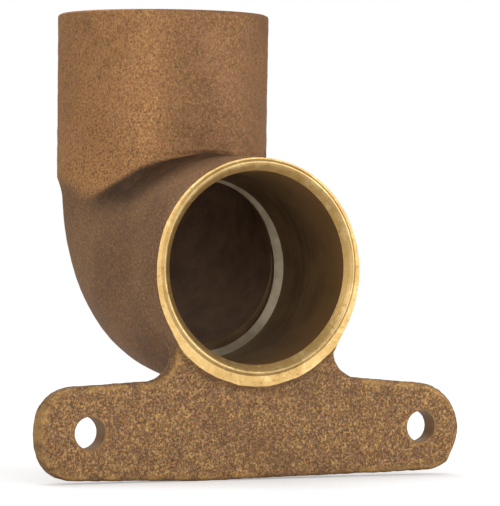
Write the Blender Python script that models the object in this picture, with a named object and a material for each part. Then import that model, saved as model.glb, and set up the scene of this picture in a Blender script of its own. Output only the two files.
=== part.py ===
"""Drop-ear 90 degree elbow with two solder cups, for 3/4 in nominal (22.2 mm) copper tube.

The real fitting is one copper-alloy sand casting, machined in its cups. It is modelled as the four
sections that a drawing would name: the bend, the riser socket, the outlet socket and the ear plate.

Frame: the origin lies on the ear plate's back face, in the outlet's vertical mid plane and level
with the screw holes. +Z runs up along the riser, and the outlet faces -Y.
"""

from math import cos, pi, sin, tan

import bmesh
import bpy
from mathutils import Matrix, Vector

MM = 0.001

# Solder cups
CUP_BORE_R = 11.2 * MM
CUP_CHAMFER = 0.75 * MM
STOP_DISTANCE = 11.85 * MM
WATERWAY_R = 10.05 * MM

# Outlet socket: its outside is cast a little below the bore's axis, with draft
OUTLET_REACH = 27.5 * MM
OUTLET_FACE_R = 13.35 * MM
OUTLET_ROOT_R = 13.9 * MM
OUTLET_DROP = 0.36 * MM
OUTLET_LIP_ROUND = 0.2 * MM

# Riser socket
RISER_REACH = 30.9 * MM
RISER_R = 13.1 * MM
RISER_LIP_ROUND = 0.45 * MM
RISER_SHOULDER_TOP = 10.7 * MM
RISER_SHOULDER_FOOT = 8.9 * MM
RISER_SHOULDER_R = 12.45 * MM

# Bend
BEND_CENTRELINE_R = 14.0 * MM
BEND_RISER_END_R = 12.55 * MM

# Ear plate
EAR_THICKNESS = 2.5 * MM
EAR_RECESS = 0.8 * MM
EAR_EDGE_ROUND = 0.5 * MM
NECK_HALF_WIDTH = 10.35 * MM
NECK_TOP = 6.0 * MM
HOLE_DROP = 19.0 * MM
HOLE_R = 1.87 * MM
HOLE_X = (-21.2 * MM, 22.1 * MM)

# The sections stay this far apart
GAP = 0.3 * MM
OVERCUT = 1.0 * MM

SIDES = 64
BEND_STEPS = 18

# Where the two cup axes cross
RISER_Y = OUTLET_REACH - EAR_RECESS - EAR_THICKNESS
OUTLET_Z = HOLE_DROP
BEND_TOP = BEND_CENTRELINE_R - OUTLET_DROP

BROWN_CAST = (0.20, 0.115, 0.062, 1.0)
WARM_CAST = (0.26, 0.145, 0.075, 1.0)
GRITTY_CAST = (0.24, 0.135, 0.065, 1.0)
TURNED_BRASS = (0.72, 0.50, 0.22, 1.0)


def clear_scene():
    for old in list(bpy.data.objects):
        bpy.data.objects.remove(old, do_unlink=True)


def cast_material(name, colour, roughness, metallic):
    material = bpy.data.materials.new(name)
    material.use_nodes = True
    shader = material.node_tree.nodes["Principled BSDF"]
    shader.inputs["Base Color"].default_value = colour
    shader.inputs["Roughness"].default_value = roughness
    shader.inputs["Metallic"].default_value = metallic
    return material


def add_object(name, bm, material=None):
    bmesh.ops.recalc_face_normals(bm, faces=bm.faces)
    mesh = bpy.data.meshes.new(name)
    bm.to_mesh(mesh)
    bm.free()
    if material:
        mesh.materials.append(material)
    mesh.shade_smooth()
    mesh.set_sharp_from_angle(angle=pi / 5)
    obj = bpy.data.objects.new(name, mesh)
    bpy.context.scene.collection.objects.link(obj)
    return obj


def circle(centre, radius, across, along):
    """Points of a circle round centre, in the plane of the unit vectors across and along."""
    turns = (2 * pi * i / SIDES for i in range(SIDES))
    return [centre + across * (radius * cos(t)) + along * (radius * sin(t)) for t in turns]


def loft(name, rings, material=None):
    """A closed solid through rings of points, with a flat cap on each end."""
    bm = bmesh.new()
    loops = [[bm.verts.new(point) for point in ring] for ring in rings]
    for lower, upper in zip(loops, loops[1:]):
        for i in range(SIDES):
            j = (i + 1) % SIDES
            bm.faces.new((lower[i], lower[j], upper[j], upper[i]))
    bm.faces.new(loops[0])
    bm.faces.new(loops[-1])
    return add_object(name, bm, material)


def riser_ring(height, radius):
    """A level circle on the riser's axis, height above the outlet's axis."""
    centre = Vector((0, RISER_Y, OUTLET_Z + height))
    return circle(centre, radius, Vector((1, 0, 0)), Vector((0, 1, 0)))


def outlet_ring(reach, radius, drop=0.0):
    """An upright circle on the outlet's axis, reach in front of the riser's axis."""
    centre = Vector((0, RISER_Y - reach, OUTLET_Z - drop))
    return circle(centre, radius, Vector((1, 0, 0)), Vector((0, 0, 1)))


def bend_rings(centreline_r, drop, riser_r, outlet_r, lead=0.0):
    """Circles along a quarter turn from the riser to the outlet, with straight leads if asked."""
    pivot = Vector((0, RISER_Y - centreline_r, OUTLET_Z + centreline_r - drop))
    sideways = Vector((1, 0, 0))
    rings = []
    if lead:
        top = pivot + Vector((0, centreline_r, lead))
        rings.append(circle(top, riser_r, sideways, Vector((0, 1, 0))))
    for step in range(BEND_STEPS + 1):
        turn = pi / 2 * step / BEND_STEPS
        outward = Vector((0, cos(turn), -sin(turn)))
        radius = riser_r + (outlet_r - riser_r) * sin(turn) ** 2
        rings.append(circle(pivot + outward * centreline_r, radius, sideways, outward))
    if lead:
        front = pivot + Vector((0, -lead, -centreline_r))
        rings.append(circle(front, outlet_r, sideways, Vector((0, 0, -1))))
    return rings


def hide(tool):
    tool.hide_render = True
    tool.display_type = "WIRE"


def combine(obj, tool, operation):
    modifier = obj.modifiers.new(operation.lower() + "_" + tool.name, "BOOLEAN")
    modifier.operation = operation
    modifier.solver = "EXACT"
    modifier.object = tool
    hide(tool)


def lip_rings(make_ring, reach, radius, rounding):
    """Rings from just below a socket's outer lip to its flat face, along a rounded edge."""
    rings = []
    for quarter in range(4):
        turn = pi / 2 * quarter / 3
        rings.append(make_ring(reach - rounding * (1 - sin(turn)), radius - rounding * (1 - cos(turn))))
    return rings


def mouth_cutter(name, make_ring, start, reach):
    """The bore of a cup from start to its mouth, with the chamfer that guides the tube in."""
    past = CUP_CHAMFER + OVERCUT
    rings = [
        make_ring(start, CUP_BORE_R),
        make_ring(reach - CUP_CHAMFER, CUP_BORE_R),
        make_ring(reach + OVERCUT, CUP_BORE_R + past),
    ]
    return loft(name, rings)


def riser_socket():
    foot = BEND_TOP + GAP
    rings = [riser_ring(foot, RISER_R)]
    rings += lip_rings(riser_ring, RISER_REACH, RISER_R, RISER_LIP_ROUND)
    material = cast_material("cast_riser", WARM_CAST, 0.5, 0.75)
    socket = loft("riser_socket", rings, material)
    combine(socket, mouth_cutter("riser_bore", riser_ring, foot - OVERCUT, RISER_REACH), "DIFFERENCE")


def collar_ring(reach, radius):
    return outlet_ring(reach, radius, OUTLET_DROP)


def collar_radius(reach):
    """The outlet socket's outer radius with its draft, from root to face."""
    along = (reach - BEND_CENTRELINE_R) / (OUTLET_REACH - BEND_CENTRELINE_R)
    return OUTLET_ROOT_R + (OUTLET_FACE_R - OUTLET_ROOT_R) * along


def outlet_socket():
    foot = BEND_CENTRELINE_R + GAP
    rings = [collar_ring(foot, collar_radius(foot))]
    rings += lip_rings(collar_ring, OUTLET_REACH, OUTLET_FACE_R, OUTLET_LIP_ROUND)
    material = cast_material("turned_outlet", TURNED_BRASS, 0.35, 1.0)
    socket = loft("outlet_socket", rings, material)
    combine(socket, mouth_cutter("outlet_bore", outlet_ring, foot - OVERCUT, OUTLET_REACH), "DIFFERENCE")


def bend_body():
    outside = bend_rings(BEND_CENTRELINE_R, OUTLET_DROP, BEND_RISER_END_R, OUTLET_ROOT_R)
    body = loft("bend_body", outside, cast_material("cast_bend", BROWN_CAST, 0.55, 0.7))
    shoulder = loft(
        "riser_shoulder",
        [
            riser_ring(RISER_SHOULDER_FOOT, RISER_SHOULDER_R),
            riser_ring(RISER_SHOULDER_TOP, RISER_R),
            riser_ring(BEND_TOP, RISER_R),
        ],
    )
    combine(body, shoulder, "UNION")
    waterway = bend_rings(STOP_DISTANCE, 0.0, WATERWAY_R, WATERWAY_R, lead=OVERCUT)
    combine(body, loft("waterway", waterway), "DIFFERENCE")
    riser_cup = [riser_ring(STOP_DISTANCE, CUP_BORE_R), riser_ring(BEND_TOP + OVERCUT, CUP_BORE_R)]
    combine(body, loft("riser_cup", riser_cup), "DIFFERENCE")
    outlet_cup = [
        outlet_ring(STOP_DISTANCE, CUP_BORE_R),
        outlet_ring(BEND_CENTRELINE_R + OVERCUT, CUP_BORE_R),
    ]
    combine(body, loft("outlet_cup", outlet_cup), "DIFFERENCE")


def filleted(corners, arc_steps=8):
    """A closed outline through (x, z, fillet radius) corners, each rounded by an arc."""
    outline = []
    for i, (x, z, radius) in enumerate(corners):
        here = Vector((x, z))
        if radius == 0:
            outline.append(here)
            continue
        before = (Vector(corners[i - 1][:2]) - here).normalized()
        after = (Vector(corners[(i + 1) % len(corners)][:2]) - here).normalized()
        half_angle = before.angle(after) / 2
        middle = here + (before + after).normalized() * (radius / sin(half_angle))
        start = here + before * (radius / tan(half_angle)) - middle
        sweep = pi - 2 * half_angle
        turning_left = before.x * after.y - before.y * after.x < 0
        for step in range(arc_steps + 1):
            angle = sweep * step / arc_steps * (1 if turning_left else -1)
            outline.append(middle + Matrix.Rotation(angle, 2) @ start)
    return outline


def ear_outline():
    """The plate's corners in mm, anticlockwise from the foot: x, height above the outlet's axis, fillet."""
    neck = NECK_HALF_WIDTH / MM
    corners = [
        (-7.0, -24.85, 40.0),
        (23.9, -24.3, 4.0),
        (25.95, -23.45, 1.5),
        (27.6, -19.9, 5.0),
        (26.35, -14.1, 5.7),
        (neck, -12.8, 3.4),
        (neck, -NECK_TOP / MM, 0.0),
        (-neck, -NECK_TOP / MM, 0.0),
        (-neck, -13.05, 3.4),
        (-26.6, -13.9, 4.5),
        (-27.75, -19.5, 8.0),
        (-26.2, -24.4, 4.1),
    ]
    return [point * MM for point in filleted(corners)]


def straight_bore(name, x, z, radius):
    """A cutter along Y through the whole plate."""
    front = Vector((x, -EAR_THICKNESS - OVERCUT, z))
    back = Vector((x, OVERCUT, z))
    sideways, up = Vector((1, 0, 0)), Vector((0, 0, 1))
    return loft(name, [circle(front, radius, sideways, up), circle(back, radius, sideways, up)])


def ear_plate():
    bm = bmesh.new()
    face = bm.faces.new([bm.verts.new((p.x, 0, OUTLET_Z + p.y)) for p in ear_outline()])
    side = bmesh.ops.extrude_face_region(bm, geom=[face])["geom"]
    moved = [v for v in side if isinstance(v, bmesh.types.BMVert)]
    bmesh.ops.translate(bm, verts=moved, vec=(0, -EAR_THICKNESS, 0))
    plate = add_object("ear_plate", bm, cast_material("cast_ear", GRITTY_CAST, 0.6, 0.7))
    rounding = plate.modifiers.new("edge_round", "BEVEL")
    rounding.width = EAR_EDGE_ROUND
    rounding.segments = 2
    rounding.limit_method = "ANGLE"
    rounding.angle_limit = pi / 3
    clearance = collar_radius(OUTLET_REACH - EAR_RECESS - EAR_THICKNESS) + GAP
    collar = straight_bore("collar_clearance", 0, OUTLET_Z - OUTLET_DROP, clearance)
    combine(plate, collar, "DIFFERENCE")
    for side_name, x in zip(("left", "right"), HOLE_X):
        combine(plate, straight_bore(side_name + "_screw_hole", x, 0, HOLE_R), "DIFFERENCE")


def main():
    clear_scene()
    bend_body()
    riser_socket()
    outlet_socket()
    ear_plate()


main()
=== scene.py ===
from math import cos, pi, radians, sin, tan

import bmesh
import bpy
import numpy as np
from mathutils import Matrix, Vector, noise


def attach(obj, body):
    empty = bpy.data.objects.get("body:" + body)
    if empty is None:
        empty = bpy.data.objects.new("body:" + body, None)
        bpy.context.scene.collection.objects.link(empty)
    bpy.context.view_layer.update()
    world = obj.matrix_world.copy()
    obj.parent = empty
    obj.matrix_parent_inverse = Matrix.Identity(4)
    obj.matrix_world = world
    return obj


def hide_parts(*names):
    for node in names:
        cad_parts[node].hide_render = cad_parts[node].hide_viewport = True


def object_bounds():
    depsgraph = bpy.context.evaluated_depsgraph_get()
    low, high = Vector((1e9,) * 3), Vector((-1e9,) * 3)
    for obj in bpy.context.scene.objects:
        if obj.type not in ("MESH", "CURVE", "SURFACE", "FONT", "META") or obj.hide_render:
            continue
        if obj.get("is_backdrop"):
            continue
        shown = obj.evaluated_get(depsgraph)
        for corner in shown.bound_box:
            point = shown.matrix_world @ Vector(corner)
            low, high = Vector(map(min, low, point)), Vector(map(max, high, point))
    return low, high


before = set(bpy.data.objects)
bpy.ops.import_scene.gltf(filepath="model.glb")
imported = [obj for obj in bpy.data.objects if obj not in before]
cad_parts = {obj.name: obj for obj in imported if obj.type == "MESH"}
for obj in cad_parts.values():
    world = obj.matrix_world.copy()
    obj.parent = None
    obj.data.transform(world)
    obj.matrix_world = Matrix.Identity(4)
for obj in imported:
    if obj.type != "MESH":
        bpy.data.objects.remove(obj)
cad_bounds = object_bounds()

# The casting is worked out in millimetres from the point where the two cup axes cross,
# with x sideways, y backwards and z up. This is where that point lies in the CAD frame.
MM = 0.001
CROSSING = Vector((0.0, 24.2, 19.0))

# Outside of the casting
RISER_R = 13.06
RISER_TOP = 30.9
RISER_DRAFT = 0.01
SHOULDER_TOP = 10.7
SHOULDER_SLOPE = 0.36
BEND_R = 14.0
BEND_START_R = 12.7
BEND_WAIST = 0.2
BEND_END_R = 13.9
COLLAR_FACE_R = 13.25
OUTLET_FACE = 27.5
FACE_STEP = 0.2
COLLAR_DROP = 0.36
PLATE_FRONT = -26.7
PLATE_BACK = -24.2
PLATE_EDGE_ROUND = 0.6
NECK_HALF_WIDTH = 10.35
HOLE_X = (-21.2, 22.1)
HOLE_Z = -19.0
HOLE_R = 1.87

# Machined inside
BORE_R = 11.2
OUTLET_MOUTH_R = 11.38
OUTLET_END_R = 10.95
OUTLET_DIP = 0.25
CHAMFER = 0.75
LIP_R = OUTLET_MOUTH_R + CHAMFER
LIP_WIDTH = 0.58
RIM_ROUND = 0.4
STOP = 11.85
LEDGE_SLOPE = 0.75
COUNTERBORE_R = 10.05
COUNTERBORE_FLOOR = STOP - 1.3
WATERWAY_R = 9.8
WATERWAY_SHIFT = Vector((0.1, 0.0, 0.5))
CLEAR_R = 18.0

# Where one section ends and the next begins
RISER_SPLIT = 13.79
OUTLET_SPLIT = 14.15
EAR_SPLIT_R = 13.6

# Fineness of the meshes
VOXEL = 0.3
SIDES = 192
FAR = 60.0

# Sand-cast skin: how far it is sunk under the smooth form, the height that counts as full relief,
# and how far it stays inside the CAD's box
RELIEF_SINK = 0.02
RELIEF_RANGE = 0.06
BOX_MARGIN = 0.005

# Telling surfaces apart: how deep under the skin the inside starts, how far a face's middle may be
# from the surface it belongs to, and how wide the worn edge of a screw hole is
INSIDE_DEPTH = 0.4
SLACK = 0.03
HOLE_EDGE = 0.13

# Stage, in metres
FLOOR_R = 0.4
FLOOR_LIFT = 0.3
ROOM_LIGHT = 0.47
LIGHT_TARGET = Vector((0.0, 0.01, 0.02))

# Camera, from the point where the cup axes cross
CAMERA_AZIMUTH = radians(-26.36)
CAMERA_ELEVATION = radians(0.42)
CAMERA_ROLL = radians(0.47)
CAMERA_DISTANCE = 421.9
CAMERA_RIGHT = 10.976
CAMERA_UP = 1.524
CAMERA_LENS = 241.9
CAMERA_SENSOR = 36.0


# ---------------------------------------------------------------- distances


def smooth_min(a, b, reach):
    """The nearer of two surfaces, with a fillet where they come within reach of each other."""
    near = np.maximum(reach - np.abs(a - b), 0.0) / reach
    return np.minimum(a, b) - near * near * reach / 4


def smooth_step(low, high, value):
    """From 0 at low to 1 at high, which may also be the smaller of the two."""
    t = np.clip((value - low) / (high - low), 0.0, 1.0)
    return t * t * (3 - 2 * t)


def riser_distance(p):
    """Distance from the riser's outside: a cup that leans a little over a conical shoulder."""
    x, y, z = p.T
    lean = RISER_DRAFT * np.clip(RISER_TOP - z, 0.0, RISER_TOP - SHOULDER_TOP) / 2
    radius = RISER_R - lean - SHOULDER_SLOPE * np.maximum(SHOULDER_TOP - z, 0.0)
    return np.maximum(np.hypot(x + lean, y) - radius, 4.0 - z)


def bend_distance(p):
    """Distance from the quarter bend, which swells towards the outlet and runs on straight at both ends."""
    x, y, z = p.T
    u = y + BEND_R
    w = BEND_R - COLLAR_DROP - z
    turn = np.clip(np.arctan2(w, u), 0.0, pi / 2)
    radius = BEND_START_R + (BEND_END_R - BEND_START_R) * np.sin(turn) ** 2
    radius -= BEND_WAIST * np.cos(turn) ** 12
    curved = np.hypot(np.hypot(u, w) - BEND_R, x) - radius
    above = np.maximum(np.hypot(x, y) - BEND_START_R, -w)
    ahead = np.maximum(np.hypot(x, z + COLLAR_DROP) - BEND_END_R, -u)
    return np.where((w >= 0) & (u >= 0), curved, np.minimum(above, ahead))


def collar_radius(reach):
    along = np.maximum((reach - BEND_R) / (OUTLET_FACE - BEND_R), 0.0)
    return BEND_END_R + (COLLAR_FACE_R - BEND_END_R) * along


def collar_distance(p):
    reach = -p[:, 1]
    around = np.hypot(p[:, 0], p[:, 2] + COLLAR_DROP)
    return np.maximum(around - collar_radius(reach), BEND_R - reach)


def filleted(corners, arc_steps=8):
    """A closed outline through (x, z, fillet radius) corners, each rounded by an arc."""
    outline = []
    for i, (x, z, radius) in enumerate(corners):
        here = Vector((x, z))
        if radius == 0:
            outline.append(here)
            continue
        before = (Vector(corners[i - 1][:2]) - here).normalized()
        after = (Vector(corners[(i + 1) % len(corners)][:2]) - here).normalized()
        half_angle = before.angle(after) / 2
        middle = here + (before + after).normalized() * (radius / sin(half_angle))
        start = here + before * (radius / tan(half_angle)) - middle
        sweep = pi - 2 * half_angle
        turning_left = before.x * after.y - before.y * after.x < 0
        for step in range(arc_steps + 1):
            angle = sweep * step / arc_steps * (1 if turning_left else -1)
            outline.append(middle + Matrix.Rotation(angle, 2) @ start)
    return outline


PLATE_OUTLINE = filleted(
    [
        (-7.0, -24.85, 40.0),
        (23.9, -24.3, 4.0),
        (25.95, -23.45, 1.5),
        (27.6, -19.9, 5.0),
        (26.35, -14.1, 5.7),
        (NECK_HALF_WIDTH, -12.8, 3.4),
        (NECK_HALF_WIDTH, -3.0, 0.0),
        (-NECK_HALF_WIDTH, -3.0, 0.0),
        (-NECK_HALF_WIDTH, -13.05, 3.4),
        (-26.6, -13.9, 4.5),
        (-27.75, -19.5, 8.0),
        (-26.2, -24.4, 4.1),
    ]
)


def outline_distance(x, z):
    """Signed distance in the plate's plane from its outline, negative inside."""
    nearest = np.full(x.shape, np.inf)
    inside = np.zeros(x.shape, dtype=bool)
    for i, a in enumerate(PLATE_OUTLINE):
        b = PLATE_OUTLINE[(i + 1) % len(PLATE_OUTLINE)]
        ex, ez = b.x - a.x, b.y - a.y
        t = np.clip(((x - a.x) * ex + (z - a.y) * ez) / (ex * ex + ez * ez), 0.0, 1.0)
        nearest = np.minimum(nearest, np.hypot(x - a.x - t * ex, z - a.y - t * ez))
        crossed = (a.y > z) != (b.y > z)
        if ez:
            inside ^= crossed & (x < a.x + (z - a.y) * ex / ez)
    return np.where(inside, -nearest, nearest)


def plate_distance(p):
    """Distance from the ear plate, worked out only near the plate."""
    distance = np.full(len(p), FAR)
    close = (p[:, 2] < 0) & (p[:, 1] < PLATE_BACK + 5)
    x, y, z = p[close].T
    middle = (PLATE_FRONT + PLATE_BACK) / 2
    half = (PLATE_BACK - PLATE_FRONT) / 2
    flat = outline_distance(x, z) + PLATE_EDGE_ROUND
    thick = np.abs(y - middle) - half + PLATE_EDGE_ROUND
    corner = np.hypot(np.maximum(flat, 0.0), np.maximum(thick, 0.0))
    distance[close] = corner + np.minimum(np.maximum(flat, thick), 0.0) - PLATE_EDGE_ROUND
    return distance


def casting_distance(p):
    tube = np.minimum(bend_distance(p), collar_distance(p))
    in_front = smooth_step(-3.0, -9.0, p[:, 1]) * smooth_step(12.0, 8.0, np.abs(p[:, 0]))
    crease_fillet = 0.3 + 1.7 * in_front
    tube = smooth_min(riser_distance(p), tube, crease_fillet)
    plate_fillet = 1.1 + 0.6 * smooth_step(PLATE_FRONT + 0.3, PLATE_FRONT - 0.3, p[:, 1])
    return smooth_min(tube, plate_distance(p), plate_fillet)


def casting_slope(p, step=0.02):
    """Distance from the casting's surface, and how it changes along x, y and z."""
    here = casting_distance(p)
    slope = np.empty_like(p)
    for axis in range(3):
        moved = p.copy()
        moved[:, axis] += step
        slope[:, axis] = (casting_distance(moved) - here) / step
    return here, slope


# ---------------------------------------------------------------- mesh tools


def add_object(name, bm):
    bmesh.ops.recalc_face_normals(bm, faces=bm.faces)
    mesh = bpy.data.meshes.new(name)
    bm.to_mesh(mesh)
    bm.free()
    obj = bpy.data.objects.new(name, mesh)
    bpy.context.scene.collection.objects.link(obj)
    return obj


def circle(centre, radius, across, along):
    turns = (2 * pi * i / SIDES for i in range(SIDES))
    return [centre + across * (radius * cos(t)) + along * (radius * sin(t)) for t in turns]


def loft(name, rings):
    """A closed solid through rings of points, with a flat cap on each end."""
    bm = bmesh.new()
    loops = [[bm.verts.new(point) for point in ring] for ring in rings]
    for lower, upper in zip(loops, loops[1:]):
        for i in range(SIDES):
            j = (i + 1) % SIDES
            bm.faces.new((lower[i], lower[j], upper[j], upper[i]))
    bm.faces.new(loops[0])
    bm.faces.new(loops[-1])
    return add_object(name, bm)


X, Y, Z = Vector((1, 0, 0)), Vector((0, 1, 0)), Vector((0, 0, 1))


def riser_turned(name, profile):
    """A solid turned about the riser's axis from (height, radius) pairs."""
    return loft(name, [circle(Z * height, radius, X, Y) for height, radius in profile])


def outlet_turned(name, profile, drop=0.0, x=0.0):
    """A solid turned about an axis along y from (reach, radius) pairs."""
    return loft(name, [circle(Vector((x, -reach, -drop)), radius, X, Z) for reach, radius in profile])


def bend_swept(name, centreline_r, drop, start_r, end_r, lead, shift=Vector((0, 0, 0)), steps=48):
    """A quarter turn from the riser to the outlet, with a straight lead at both ends."""
    pivot = Vector((0, -centreline_r, centreline_r - drop)) + shift
    rings = [circle(pivot + Vector((0, centreline_r, lead)), start_r, X, Y)]
    for step in range(steps + 1):
        turn = pi / 2 * step / steps
        outward = Vector((0, cos(turn), -sin(turn)))
        radius = start_r + (end_r - start_r) * sin(turn) ** 2
        rings.append(circle(pivot + outward * centreline_r, radius, X, outward))
    rings.append(circle(pivot + Vector((0, -lead, -centreline_r)), end_r, X, -Z))
    return loft(name, rings)


def block(name, low, high):
    bm = bmesh.new()
    bmesh.ops.create_cube(bm, size=1.0)
    for vert in bm.verts:
        vert.co = Vector(a if c < 0 else b for c, a, b in zip(vert.co, low, high))
    return add_object(name, bm)


def apply_modifiers(obj):
    depsgraph = bpy.context.evaluated_depsgraph_get()
    mesh = bpy.data.meshes.new_from_object(obj.evaluated_get(depsgraph))
    obj.modifiers.clear()
    obj.data = mesh


def combine(obj, tool, operation, keep=False):
    """Cut the object with a closed tool, which is then removed unless it is kept for another cut."""
    modifier = obj.modifiers.new("cut", "BOOLEAN")
    modifier.operation = operation
    modifier.solver = "MANIFOLD"
    modifier.object = tool
    apply_modifiers(obj)
    if not keep:
        bpy.data.objects.remove(tool, do_unlink=True)


def copy_of(obj, name):
    twin = obj.copy()
    twin.data = obj.data.copy()
    twin.name = name
    bpy.context.scene.collection.objects.link(twin)
    return twin


def coordinates(mesh):
    flat = np.empty(len(mesh.vertices) * 3)
    mesh.vertices.foreach_get("co", flat)
    return flat.reshape(-1, 3)


# ---------------------------------------------------------------- casting


def cast_relief(points, plate, riser):
    """Height of the sand-cast skin over its smooth form, in mm."""
    height = np.empty(len(points))
    for i, (point, ear, cup) in enumerate(zip(points, plate, riser)):
        at = Vector(point)
        swell = noise.noise(at * 0.16 + Vector((3, 7, 1)))
        dent = noise.noise(at * 0.5 + Vector((11, 2, 5)))
        grain = noise.noise(at * 1.05)
        fine = noise.noise(at * 1.7 + Vector((5, 9, 13)))
        rougher = 0.03 * ear + 0.02 * cup
        height[i] = 0.05 * swell + (0.03 + 0.6 * ear * (1 - ear)) * dent
        height[i] += (0.02 + rougher) * grain + (0.015 + rougher) * fine
    return height


def zones(p):
    """How far each point belongs to the plate and to the riser, from 0 to 1, with the riser's share
    reaching lower on the front left to paint a lit patch there.
    """
    tube = np.minimum(np.minimum(riser_distance(p), bend_distance(p)), collar_distance(p))
    plate = smooth_step(-0.6, 0.9, tube - plate_distance(p))
    # Painted light: on the front left the riser's share reaches further down, so its warmer, paler colour
    # paints a lit patch on the bend just below the riser; that patch also takes the riser's rougher relief.
    turn = np.arctan2(-p[:, 1], -p[:, 0])
    lit_dip = np.exp(-(((turn - 0.45) / 0.42) ** 2))
    over = tube - riser_distance(p) + 1.6 * lit_dip
    riser = smooth_step(-0.5, 0.3, over) * smooth_step(9.2, 12.0, p[:, 2] + 2.5 * lit_dip)
    return plate, riser


def rough_casting():
    """One solid skin round bend, riser, collar and plate, filleted and with its sand-cast relief."""
    parts = [
        bend_swept("bend_form", BEND_R, COLLAR_DROP, BEND_START_R, BEND_END_R, 0.5),
        riser_turned("riser_form", [(6.0, 11.8), (SHOULDER_TOP, RISER_R), (RISER_TOP + 1, RISER_R)]),
        outlet_turned(
            "collar_form",
            [(BEND_R, BEND_END_R), (OUTLET_FACE + 1, COLLAR_FACE_R)],
            COLLAR_DROP,
        ),
    ]
    bm = bmesh.new()
    face = bm.faces.new([bm.verts.new((p.x, PLATE_BACK, p.y)) for p in PLATE_OUTLINE])
    side = bmesh.ops.extrude_face_region(bm, geom=[face])["geom"]
    moved = [v for v in side if isinstance(v, bmesh.types.BMVert)]
    bmesh.ops.translate(bm, verts=moved, vec=(0, PLATE_FRONT - PLATE_BACK, 0))
    parts.append(add_object("plate_form", bm))

    whole = bmesh.new()
    for part in parts:
        whole.from_mesh(part.data)
        bpy.data.objects.remove(part, do_unlink=True)
    casting = add_object("casting", whole)
    remesh = casting.modifiers.new("skin", "REMESH")
    remesh.mode = "VOXEL"
    remesh.voxel_size = VOXEL
    remesh.adaptivity = 0.0
    apply_modifiers(casting)

    points = coordinates(casting.data)
    for _ in range(4):
        away, slope = casting_slope(points)
        steepness = np.maximum((slope * slope).sum(axis=1), 0.3)
        step = np.clip(away / steepness, -0.25, 0.25)
        points -= slope * step[:, None]
    plate, riser = zones(points)
    away, slope = casting_slope(points)
    slope /= np.maximum(np.linalg.norm(slope, axis=1), 0.3)[:, None]
    points += slope * (cast_relief(points, plate, riser) - RELIEF_SINK)[:, None]
    lowest, highest = ((np.array(corner) / MM - np.array(CROSSING)) for corner in cad_bounds)
    np.clip(points, lowest + BOX_MARGIN, highest - BOX_MARGIN, out=points)
    casting.data.vertices.foreach_set("co", points.ravel())
    return casting


def outlet_dip(reach):
    """How far the outlet's bore has wandered down, this far in front of the riser's axis."""
    return OUTLET_DIP * (OUTLET_FACE - reach) / (OUTLET_FACE - STOP)


def dipped(tool):
    """The cutting tool, bent down as the outlet's bore is."""
    for vert in tool.data.vertices:
        vert.co.z -= outlet_dip(-vert.co.y)
    return tool


def cut_outlet(casting):
    """The outlet's flared bore, its chamfer, the raised lip round it and the flat face outside the lip."""
    face = OUTLET_FACE
    outlet = outlet_turned(
        "outlet_tool",
        [
            (STOP - LEDGE_SLOPE, COUNTERBORE_R + 0.05),
            (STOP, OUTLET_END_R),
            (STOP + 5, BORE_R),
            (face - CHAMFER - 3, BORE_R + 0.08),
            (face - CHAMFER, OUTLET_MOUTH_R),
            (face - 0.3, LIP_R - 0.28),
            (face - 0.13, LIP_R - 0.07),
            (face - 0.04, LIP_R + 0.08),
            (face, LIP_R + 0.2),
            (face - 0.03, LIP_R + 0.32),
            (face - FACE_STEP, LIP_R + LIP_WIDTH),
            (face - FACE_STEP, CLEAR_R),
            (face + 3, CLEAR_R),
        ],
    )
    combine(casting, dipped(outlet), "DIFFERENCE")


def cut_riser(casting):
    """The riser's bore, its chamfer and its rounded rim."""
    riser = riser_turned(
        "riser_tool",
        [
            (STOP, BORE_R),
            (RISER_TOP - CHAMFER, BORE_R),
            (RISER_TOP, BORE_R + CHAMFER),
            (RISER_TOP, RISER_R - RIM_ROUND),
            (RISER_TOP - 0.13, RISER_R - 0.13),
            (RISER_TOP - 0.5, RISER_R + 0.1),
            (RISER_TOP - 0.5, CLEAR_R),
            (RISER_TOP + 3, CLEAR_R),
        ],
    )
    combine(casting, riser, "DIFFERENCE")


def cut_waterway(casting):
    """The curved waterway, and the short counterbore where it meets each stop."""
    waterway = bend_swept("waterway_tool", STOP, 0.0, WATERWAY_R, WATERWAY_R, 0.8, WATERWAY_SHIFT)
    combine(casting, waterway, "DIFFERENCE")
    counterbore = [(COUNTERBORE_FLOOR, COUNTERBORE_R), (STOP + 1, COUNTERBORE_R)]
    combine(casting, dipped(outlet_turned("outlet_counterbore", counterbore)), "DIFFERENCE")
    combine(casting, riser_turned("riser_counterbore", counterbore), "DIFFERENCE")


def cut_screw_holes(casting):
    drill_profile = [
        (-PLATE_BACK - 2, HOLE_R),
        (-PLATE_FRONT - 0.05, HOLE_R),
        (-PLATE_FRONT + 0.95, HOLE_R + 1.0),
    ]
    for x in HOLE_X:
        combine(casting, outlet_turned("drill", drill_profile, -HOLE_Z, x), "DIFFERENCE")


def divide(casting):
    """Cut the machined casting into its four sections, whose cut faces touch exactly."""
    above = block("above", (-FAR, -FAR, RISER_SPLIT), (FAR, FAR, FAR))
    ahead = block("ahead", (-FAR, -FAR, -FAR), (FAR, -OUTLET_SPLIT, RISER_SPLIT))
    ear_zone = block("ear_zone", (-FAR, PLATE_FRONT - 0.2, -FAR), (FAR, PLATE_BACK + 0.5, -4.0))
    collar_zone = [(-PLATE_BACK - 1.2, EAR_SPLIT_R), (OUTLET_FACE + 0.5, EAR_SPLIT_R)]
    combine(ear_zone, outlet_turned("collar", collar_zone, COLLAR_DROP), "DIFFERENCE")

    riser = copy_of(casting, "riser_casting")
    combine(riser, above, "INTERSECT", keep=True)
    ear = copy_of(casting, "ear_casting")
    combine(ear, ear_zone, "INTERSECT", keep=True)
    outlet = copy_of(casting, "outlet_casting")
    combine(outlet, ahead, "INTERSECT", keep=True)
    combine(outlet, ear_zone, "DIFFERENCE")
    bend = copy_of(casting, "bend_casting")
    combine(bend, above, "DIFFERENCE")
    combine(bend, ahead, "DIFFERENCE")
    bpy.data.objects.remove(casting, do_unlink=True)
    return bend, riser, outlet, ear


# ---------------------------------------------------------------- materials


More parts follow.
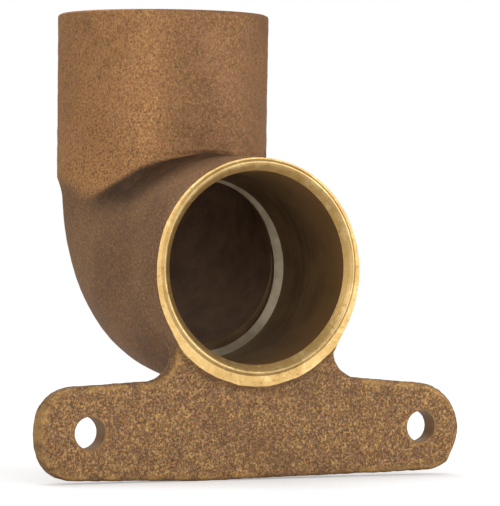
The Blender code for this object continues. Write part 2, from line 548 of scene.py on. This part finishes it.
class Nodes:
    """Short calls for building one material."""

    def __init__(self, name):
        self.material = bpy.data.materials.new(name)
        self.material.use_nodes = True
        self.tree = self.material.node_tree
        self.shader = self.tree.nodes["Principled BSDF"]

    def wire(self, value, socket):
        if isinstance(value, bpy.types.NodeSocket):
            self.tree.links.new(value, socket)
        else:
            socket.default_value = value

    def place(self):
        coords = self.tree.nodes.new("ShaderNodeTexCoord")
        return coords.outputs["Object"]

    def stretched(self, vector, scale):
        node = self.tree.nodes.new("ShaderNodeMapping")
        self.wire(vector, node.inputs["Vector"])
        node.inputs["Scale"].default_value = scale
        return node.outputs["Vector"]

    def round_outlet(self, place, across, along):
        """Coordinates that change only with the distance from the outlet's axis and along it."""
        split = self.tree.nodes.new("ShaderNodeSeparateXYZ")
        self.wire(place, split.inputs[0])
        rise = self.maths("SUBTRACT", split.outputs["Z"], CROSSING.z * MM)
        rise_squared = self.maths("POWER", rise, 2.0)
        squares = self.maths("ADD", self.maths("POWER", split.outputs["X"], 2.0), rise_squared)
        join = self.tree.nodes.new("ShaderNodeCombineXYZ")
        self.wire(self.maths("MULTIPLY", self.maths("SQRT", squares), across), join.inputs[0])
        self.wire(self.maths("MULTIPLY", split.outputs["Y"], along), join.inputs[1])
        return join.outputs[0]

    def attribute(self, name):
        node = self.tree.nodes.new("ShaderNodeAttribute")
        node.attribute_name = name
        return node.outputs["Fac"]

    def noise(self, vector, scale, detail=2.0, roughness=0.5):
        node = self.tree.nodes.new("ShaderNodeTexNoise")
        self.wire(vector, node.inputs["Vector"])
        node.inputs["Scale"].default_value = scale
        node.inputs["Detail"].default_value = detail
        node.inputs["Roughness"].default_value = roughness
        return node.outputs["Fac"]

    def maths(self, operation, a, b=0.0):
        node = self.tree.nodes.new("ShaderNodeMath")
        node.operation = operation
        self.wire(a, node.inputs[0])
        self.wire(b, node.inputs[1])
        return node.outputs["Value"]

    def between(self, value, low, high, to_low=0.0, to_high=1.0):
        node = self.tree.nodes.new("ShaderNodeMapRange")
        node.interpolation_type = "SMOOTHSTEP"
        self.wire(value, node.inputs["Value"])
        node.inputs["From Min"].default_value = low
        node.inputs["From Max"].default_value = high
        self.wire(to_low, node.inputs["To Min"])
        self.wire(to_high, node.inputs["To Max"])
        return node.outputs["Result"]

    def mix(self, factor, a, b):
        node = self.tree.nodes.new("ShaderNodeMix")
        node.data_type = "RGBA"
        self.wire(factor, node.inputs["Factor"])
        self.wire(a, node.inputs["A"])
        self.wire(b, node.inputs["B"])
        return node.outputs["Result"]

    def bump(self, height, distance, strength=1.0, below=None):
        node = self.tree.nodes.new("ShaderNodeBump")
        self.wire(height, node.inputs["Height"])
        node.inputs["Distance"].default_value = distance
        self.wire(strength, node.inputs["Strength"])
        if below is not None:
            self.wire(below, node.inputs["Normal"])
        return node.outputs["Normal"]

    def finish(self, colour, metallic, roughness, normal):
        self.wire(colour, self.shader.inputs["Base Color"])
        self.wire(metallic, self.shader.inputs["Metallic"])
        self.wire(roughness, self.shader.inputs["Roughness"])
        self.wire(normal, self.shader.inputs["Normal"])
        return self.material


def colour(red, green, blue):
    """An opaque linear colour from display values out of 255."""
    return tuple(
        (v / 255 / 12.92 if v <= 10 else ((v / 255 + 0.055) / 1.055) ** 2.4) for v in (red, green, blue)
    ) + (1.0,)


def cast_skin():
    """Oxidised cast bronze: brown all over, warmer and grainier on the riser and gritty on the plate."""
    n = Nodes("cast_skin")
    at = n.place()
    plate, riser, relief = n.attribute("plate"), n.attribute("riser"), n.attribute("relief")
    broad = n.noise(at, 110.0, 3.0)
    patch = n.noise(at, 420.0, 3.0, 0.55)
    speckle = n.noise(at, 3100.0, 2.0, 0.6)
    grit = n.noise(n.stretched(at, (1.0, 1.1, 0.9)), 5200.0, 2.0, 0.6)
    hue = n.noise(n.stretched(at, (0.9, 1.2, 1.0)), 2400.0, 1.0)
    tone = n.noise(n.stretched(at, (1.2, 1.0, 0.9)), 2000.0, 1.0)

    body = n.mix(n.between(broad, 0.35, 0.65), colour(120, 89, 66), colour(136, 103, 76))
    warm = n.mix(n.between(broad, 0.35, 0.65), colour(149, 104, 72), colour(165, 119, 82))
    warm = n.mix(n.between(patch, 0.5, 0.72, 0.0, 0.6), warm, colour(172, 122, 76))
    warm = n.mix(n.between(hue, 0.52, 0.66, 0.0, 0.45), warm, colour(172, 106, 84))
    warm = n.mix(n.between(tone, 0.52, 0.66, 0.0, 0.4), warm, colour(132, 112, 66))
    gritty = n.mix(n.between(patch, 0.35, 0.65), colour(118, 87, 61), colour(138, 105, 71))
    gritty = n.mix(n.between(hue, 0.52, 0.66, 0.0, 0.5), gritty, colour(138, 102, 96))
    gritty = n.mix(n.between(hue, 0.46, 0.34, 0.0, 0.5), gritty, colour(156, 98, 60))
    gritty = n.mix(n.between(tone, 0.52, 0.66, 0.0, 0.5), gritty, colour(112, 104, 72))
    # Painted highlight: the riser's lower left is mixed towards a pale gold, as if light fell there, and is
    # given more metal speckle.
    golden_highlight = n.attribute("golden_highlight")
    warm = n.mix(n.maths("MULTIPLY", golden_highlight, 0.6), warm, colour(190, 138, 88))
    base = n.mix(riser, body, warm)
    base = n.mix(plate, base, gritty)

    coarseness = n.maths("ADD", n.maths("MULTIPLY", riser, 0.1), n.maths("MULTIPLY", plate, 0.45))
    coarseness = n.maths("ADD", coarseness, 0.65)
    coarseness = n.maths("ADD", coarseness, n.maths("MULTIPLY", golden_highlight, 0.6))
    gold = n.between(speckle, 0.52, 0.66)
    gold = n.maths("MULTIPLY", gold, coarseness)
    gold = n.maths("MULTIPLY", gold, n.between(patch, 0.3, 0.65, 0.35, 1.0))
    pits = n.maths("MULTIPLY", n.between(speckle, 0.47, 0.34), coarseness)
    tint = n.maths("MULTIPLY", n.between(grit, 0.52, 0.66), n.maths("MULTIPLY", coarseness, 0.5))
    shade = n.maths("MULTIPLY", n.between(grit, 0.48, 0.34), n.maths("MULTIPLY", coarseness, 0.5))
    base = n.mix(tint, base, colour(204, 160, 106))
    base = n.mix(shade, base, colour(70, 50, 38))
    base = n.mix(n.maths("MULTIPLY", gold, 0.5), base, colour(206, 164, 100))
    pits = n.maths("MULTIPLY", pits, n.between(plate, 0.0, 1.0, 0.34, 0.38))
    base = n.mix(pits, base, colour(72, 52, 40))
    base = n.mix(n.between(relief, 0.0, -1.0, 0.0, 0.25), base, colour(84, 60, 44))
    # Painted shade: the tube's top under the riser and the join between them go dark brown, standing for
    # shade that falls there and partly for dark oxide in the join itself.
    crease_shade = n.maths("MULTIPLY", n.attribute("crease_shade"), n.between(patch, 0.35, 0.6, 0.85, 1.0))
    base = n.mix(crease_shade, base, colour(52, 36, 26))
    # Painted highlight: a pale gold line along the plate's rounded front rim and over its left end, where
    # light catches the edge.
    edge = n.maths("MULTIPLY", n.attribute("edge"), n.between(patch, 0.35, 0.6, 0.0, 0.35))
    base = n.mix(edge, base, colour(214, 170, 100))

    metallic = n.between(gold, 0.0, 1.0, 0.3, 0.8)
    rough = n.between(gold, 0.0, 0.8, 0.6, 0.46)
    rough = n.maths("ADD", rough, n.between(patch, 0.3, 0.7, -0.05, 0.07))
    coarse = n.bump(speckle, 0.00008, n.between(coarseness, 0.3, 1.3, 0.25, 0.6))
    fine = n.bump(grit, 0.00004, n.between(coarseness, 0.3, 1.3, 0.35, 0.6), coarse)
    n.shader.inputs["Specular IOR Level"].default_value = 0.3
    n.shader.inputs["Specular Tint"].default_value = (0.45, 0.33, 0.24, 1.0)
    return n.finish(base, metallic, rough, fine)


def turned_brass():
    """Bright brass with the fine rings that a cutting tool leaves, with wear and chips in places, and a
    darker, rougher chamfer whose darkness is partly painted shade.
    """
    n = Nodes("turned_brass")
    at = n.place()
    rings = n.noise(n.round_outlet(at, 9000.0, 0.0), 1.0, 2.0)
    broad = n.noise(at, 230.0, 3.0)
    mottle = n.noise(at, 800.0, 3.0, 0.6)
    chips = n.noise(at, 1700.0, 3.0, 0.65)
    dull_and_shaded = n.attribute("dull_and_shaded")
    base = n.mix(n.between(broad, 0.35, 0.65), colour(190, 157, 101), colour(212, 181, 124))
    base = n.mix(n.between(rings, 0.5, 0.75, 0.0, 0.3), base, colour(196, 156, 88))
    # Darker on the chamfer and slightly so outside the lip: partly a duller cut, partly painted shade.
    base = n.mix(n.maths("MULTIPLY", dull_and_shaded, 0.75), base, colour(186, 149, 90))
    base = n.mix(n.between(mottle, 0.5, 0.68, 0.0, 0.45), base, colour(176, 142, 84))
    base = n.mix(n.between(mottle, 0.48, 0.3, 0.0, 0.4), base, colour(236, 208, 150))
    base = n.mix(n.between(chips, 0.58, 0.7, 0.0, 0.5), base, colour(130, 98, 56))
    rough = n.maths("ADD", n.between(rings, 0.3, 0.7, 0.3, 0.42), n.maths("MULTIPLY", dull_and_shaded, 0.06))
    normal = n.bump(rings, 0.00002, 0.4, n.bump(chips, 0.00006, 0.5))
    return n.finish(base, 1.0, rough, normal)


def bored_brass():
    """The cup bores and screw holes: duller brass with feed marks round the bore."""
    n = Nodes("bored_brass")
    n.shader.inputs["Specular IOR Level"].default_value = 0.3
    at = n.place()
    marks = n.noise(n.round_outlet(at, 400.0, 5200.0), 1.0, 3.0, 0.6)
    broad = n.noise(at, 200.0, 3.0)
    base = n.mix(n.between(broad, 0.35, 0.65), colour(95, 74, 51), colour(117, 94, 65))
    base = n.mix(n.between(marks, 0.52, 0.75, 0.0, 0.6), base, colour(178, 142, 96))
    # Painted light: the bore turns paler towards the outlet's mouth, where light reaches in, and the screw
    # holes near the front are paler too.
    split = n.tree.nodes.new("ShaderNodeSeparateXYZ")
    n.wire(at, split.inputs[0])
    lit_near_mouth = n.between(split.outputs["Y"], 0.007, -0.002, 0.0, 0.55)
    base = n.mix(lit_near_mouth, base, colour(158, 118, 72))
    rough = n.between(marks, 0.3, 0.7, 0.42, 0.56)
    normal = n.bump(marks, 0.00003, 0.6)
    return n.finish(base, 0.4, rough, normal)


def stop_ledge():
    """The faced ledges that a tube stops against, pale and clean."""
    n = Nodes("stop_ledge")
    at = n.place()
    rings = n.noise(n.round_outlet(at, 9000.0, 0.0), 1.0, 2.0)
    broad = n.noise(at, 300.0, 3.0)
    base = n.mix(n.between(broad, 0.35, 0.65), colour(156, 144, 120), colour(188, 176, 150))
    base = n.mix(n.between(rings, 0.5, 0.7, 0.0, 0.4), base, colour(120, 104, 76))
    rough = n.between(rings, 0.3, 0.7, 0.38, 0.5)
    return n.finish(base, 0.5, rough, n.bump(rings, 0.00002, 0.5))


def cast_waterway():
    """The unmachined inside of the bend, dark and rough."""
    n = Nodes("cast_waterway")
    at = n.place()
    lumps = n.noise(at, 420.0, 4.0, 0.6)
    grit = n.noise(at, 2400.0, 3.0, 0.6)
    base = n.mix(n.between(lumps, 0.3, 0.7), colour(86, 66, 52), colour(106, 81, 60))
    base = n.mix(n.between(grit, 0.5, 0.75, 0.0, 0.3), base, colour(134, 102, 72))
    rough = n.between(grit, 0.3, 0.7, 0.55, 0.75)
    normal = n.bump(grit, 0.00008, 0.5, n.bump(lumps, 0.0003, 0.4))
    n.shader.inputs["Specular IOR Level"].default_value = 0.2
    return n.finish(base, 0.2, rough, normal)


SKIN, TURNED, BORED, LEDGE, WATERWAY = range(5)


def sharpen_seams(mesh):
    """Keep an edge crisp where two turned faces meet, or a machined face meets another surface."""
    bm = bmesh.new()
    bm.from_mesh(mesh)
    for edge in bm.edges:
        kinds = {face.material_index for face in edge.link_faces}
        turned_edge = kinds == {TURNED} and edge.calc_face_angle(0.0) > radians(5)
        if len(kinds) > 1 or turned_edge:
            edge.smooth = False
    bm.to_mesh(mesh)
    bm.free()


def face_kinds(centres, normals, about_outlet):
    """The material of each face, as an index, from where the face lies on the casting."""
    x, y, z = centres.T
    reach = -y
    about_riser = np.hypot(x, y)
    inside = casting_distance(centres) < -INSIDE_DEPTH
    kind = np.where(inside, WATERWAY, SKIN)

    for distance, about, mouth_r in ((reach, about_outlet, OUTLET_MOUTH_R), (z, about_riser, BORE_R)):
        kind[inside & (distance > COUNTERBORE_FLOOR - SLACK) & (about < mouth_r + SLACK)] = BORED
    lip = (reach > OUTLET_FACE - CHAMFER) & (about_outlet < LIP_R + LIP_WIDTH + SLACK)
    kind[lip | (reach > OUTLET_FACE - FACE_STEP - SLACK)] = TURNED
    kind[(z > RISER_TOP - CHAMFER) & (about_riser < RISER_R - RIM_ROUND - SLACK)] = TURNED
    for distance, about in ((reach, about_outlet), (z, about_riser)):
        kind[inside & (distance > COUNTERBORE_FLOOR) & (about < COUNTERBORE_R + SLACK)] = WATERWAY

    on_slope = np.abs(reach - STOP + LEDGE_SLOPE / 2) < LEDGE_SLOPE / 2 + SLACK
    past_counterbore = (about_outlet > COUNTERBORE_R + SLACK) & (about_outlet < OUTLET_END_R)
    kind[inside & on_slope & past_counterbore] = LEDGE
    across_outlet, across_riser = np.abs(normals[:, 1]) > 0.99, np.abs(normals[:, 2]) > 0.99
    kind[inside & across_outlet & (np.abs(reach - COUNTERBORE_FLOOR) < SLACK)] = BORED
    kind[inside & across_riser & (np.abs(z - COUNTERBORE_FLOOR) < SLACK)] = BORED
    kind[inside & across_riser & (np.abs(z - STOP) < SLACK)] = LEDGE
    for hole_x in HOLE_X:
        kind[np.hypot(x - hole_x, z - HOLE_Z) < HOLE_R + HOLE_EDGE] = BORED
    return kind


def skin_zones(points):
    """Where the skin is gritty or warm, where shade is painted under the riser, and where highlights are
    painted on the plate's rim and the riser's lower left, by name, for each point of a mesh.
    """
    x, y, z = points.T
    plate, riser = zones(points)

    # Painted highlight along the plate's front rim, left of the neck and on the right ear only, and over
    # the whole left end of the plate.
    rim = np.abs(outline_distance(x, z))
    front = smooth_step(PLATE_FRONT + 0.9, PLATE_FRONT + 0.2, y)
    edge = plate * smooth_step(0.85, 0.4, rim) * smooth_step(0.0, 0.3, rim) * front
    edge *= np.where(x < 0, 1.0, smooth_step(11.0, 14.0, x))
    edge = np.maximum(edge, plate * smooth_step(-26.0, -27.2, x))

    near_riser = np.abs(riser_distance(points))
    near_tube = np.abs(np.minimum(bend_distance(points), collar_distance(points)))
    # Painted shade: darkens the front of the tube's top within 12 mm of the riser, and a narrow band along
    # the join between riser and tube, where shade falls; the join itself also holds some dark oxide.
    under_riser = smooth_step(12.0, 5.0, near_riser) * (1 - riser)
    corner = np.exp(-(((near_riser + near_tube) / 0.8) ** 2)) * smooth_step(-8.0, -1.0, x)
    crease_shade = 0.88 * np.maximum(under_riser, corner) * (1 - plate)
    crease_shade *= smooth_step(-4.0, -9.0, y) * smooth_step(5.0, 9.0, z)

    return {
        "crease_shade": crease_shade,
        # Painted highlight on the riser's lower left, strongest low down.
        "golden_highlight": (0.4 + 0.6 * smooth_step(18.0, 10.0, z)) * smooth_step(0.0, -7.0, x) * riser,
        "plate": plate,
        "riser": riser,
        "relief": cast_relief(points, plate, riser) / RELIEF_RANGE,
        "edge": edge,
    }


def finish_surface(obj, materials):
    """Give faces their material and vertices their zones, and move the mesh to its place in metres."""
    mesh = obj.data
    mesh.materials.clear()
    for material in materials:
        mesh.materials.append(material)

    count = len(mesh.polygons)
    centres, normals = np.empty(count * 3), np.empty(count * 3)
    mesh.polygons.foreach_get("center", centres)
    mesh.polygons.foreach_get("normal", normals)
    centres, normals = centres.reshape(-1, 3), normals.reshape(-1, 3)
    about_outlet = np.hypot(centres[:, 0], centres[:, 2] + outlet_dip(-centres[:, 1]))
    kind = face_kinds(centres, normals, about_outlet)
    mesh.polygons.foreach_set("material_index", kind.astype(np.int32))

    # Darker and rougher on the chamfer, and slightly so on the face outside the lip: partly a duller cut,
    # partly painted shade.
    past_lip = about_outlet - LIP_R
    dull_and_shaded = smooth_step(-0.05, -0.3, past_lip) + 0.4 * smooth_step(0.3, 0.5, past_lip)
    mesh.attributes.new("dull_and_shaded", "FLOAT", "FACE").data.foreach_set("value", dull_and_shaded.astype(np.float32))
    for name, value in skin_zones(coordinates(mesh)).items():
        mesh.attributes.new(name, "FLOAT", "POINT").data.foreach_set("value", value.astype(np.float32))
    mesh.shade_smooth()
    mesh.set_sharp_from_angle(angle=radians(38))
    sharpen_seams(mesh)
    mesh.transform(Matrix.Scale(MM, 4) @ Matrix.Translation(CROSSING))


# ---------------------------------------------------------------- stage


def pale_floor(height):
    """A round white floor that fades into the white surround, so that it has no edge."""
    bm = bmesh.new()
    bmesh.ops.create_circle(bm, cap_ends=True, segments=96, radius=FLOOR_R)
    for vert in bm.verts:
        vert.co.z = height
    floor = add_object("floor", bm)
    n = Nodes("white_paper")
    split = n.tree.nodes.new("ShaderNodeVectorMath")
    split.operation = "LENGTH"
    n.wire(n.place(), split.inputs[0])
    fade = n.between(split.outputs["Value"], FLOOR_R * 0.25, FLOOR_R * 0.9, 1.0, 0.0)
    n.wire(fade, n.shader.inputs["Alpha"])
    n.shader.inputs["Base Color"].default_value = (0.8, 0.8, 0.8, 1.0)
    n.shader.inputs["Roughness"].default_value = 0.9
    n.shader.inputs["Specular IOR Level"].default_value = 0.1
    n.shader.inputs["Emission Color"].default_value = (1.0, 1.0, 1.0, 1.0)
    seen = n.tree.nodes.new("ShaderNodeLightPath").outputs["Is Camera Ray"]
    n.wire(n.maths("MULTIPLY", seen, FLOOR_LIFT), n.shader.inputs["Emission Strength"])
    floor.data.materials.append(n.material)
    floor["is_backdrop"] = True


def surround():
    """White where the camera looks past the object, and a soft grey room for lighting it."""
    world = bpy.data.worlds.new("surround")
    bpy.context.scene.world = world
    world.use_nodes = True
    nodes = world.node_tree.nodes
    background = nodes["Background"]
    background.inputs["Color"].default_value = (1.0, 1.0, 1.0, 1.0)
    strength = nodes.new("ShaderNodeMapRange")
    strength.inputs["To Min"].default_value = ROOM_LIGHT
    strength.inputs["To Max"].default_value = 1.0
    seen = nodes.new("ShaderNodeLightPath").outputs["Is Camera Ray"]
    world.node_tree.links.new(seen, strength.inputs["Value"])
    world.node_tree.links.new(strength.outputs["Result"], background.inputs["Strength"])


def soft_lights():
    for name, place, size, power in (
        ("key", (-0.39, -0.59, 0.14), 0.85, 2.6),
        ("card", (0.49, -0.53, 0.08), 0.65, 3.7),
        ("top", (0.0, 0.35, 0.8), 1.0, 5.2),
    ):
        light = bpy.data.lights.new(name, "AREA")
        light.size = size
        light.energy = power
        lamp = bpy.data.objects.new(name, light)
        lamp.location = place
        lamp.rotation_euler = (LIGHT_TARGET - Vector(place)).to_track_quat("-Z", "Y").to_euler()
        bpy.context.scene.collection.objects.link(lamp)


def camera():
    flat = cos(CAMERA_ELEVATION)
    back = Vector((sin(CAMERA_AZIMUTH) * flat, -cos(CAMERA_AZIMUTH) * flat, sin(CAMERA_ELEVATION)))
    right = Vector((cos(CAMERA_AZIMUTH), sin(CAMERA_AZIMUTH), 0))
    up = back.cross(right)
    place = CROSSING + back * CAMERA_DISTANCE + right * CAMERA_RIGHT + up * CAMERA_UP
    turn = Matrix.Rotation(CAMERA_ROLL, 3, back)
    data = bpy.data.cameras.new("camera")
    data.sensor_width = CAMERA_SENSOR
    data.lens = CAMERA_LENS
    data.clip_start = 0.05
    data.clip_end = 10.0
    obj = bpy.data.objects.new("camera", data)
    axes = Matrix((turn @ right, turn @ up, back)).transposed().to_4x4()
    obj.matrix_world = Matrix.Translation(place * MM) @ axes
    bpy.context.scene.collection.objects.link(obj)
    bpy.context.scene.camera = obj


# ---------------------------------------------------------------- build

casting = rough_casting()
cut_outlet(casting)
cut_riser(casting)
cut_waterway(casting)
cut_screw_holes(casting)
bend, riser, outlet, ear = divide(casting)
finishes = [cast_skin(), turned_brass(), bored_brass(), stop_ledge(), cast_waterway()]
for piece, node, finish in (
    (bend, "bend_body", "cast_bronze"),
    (riser, "riser_socket", "cast_bronze"),
    (outlet, "outlet_socket", "machined_brass"),
    (ear, "ear_plate", "cast_bronze"),
):
    finish_surface(piece, finishes)
    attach(piece, "root")
    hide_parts(node)

pale_floor(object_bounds()[0][2])
surround()
soft_lights()
camera()
bpy.context.scene.view_settings.view_transform = "Standard"
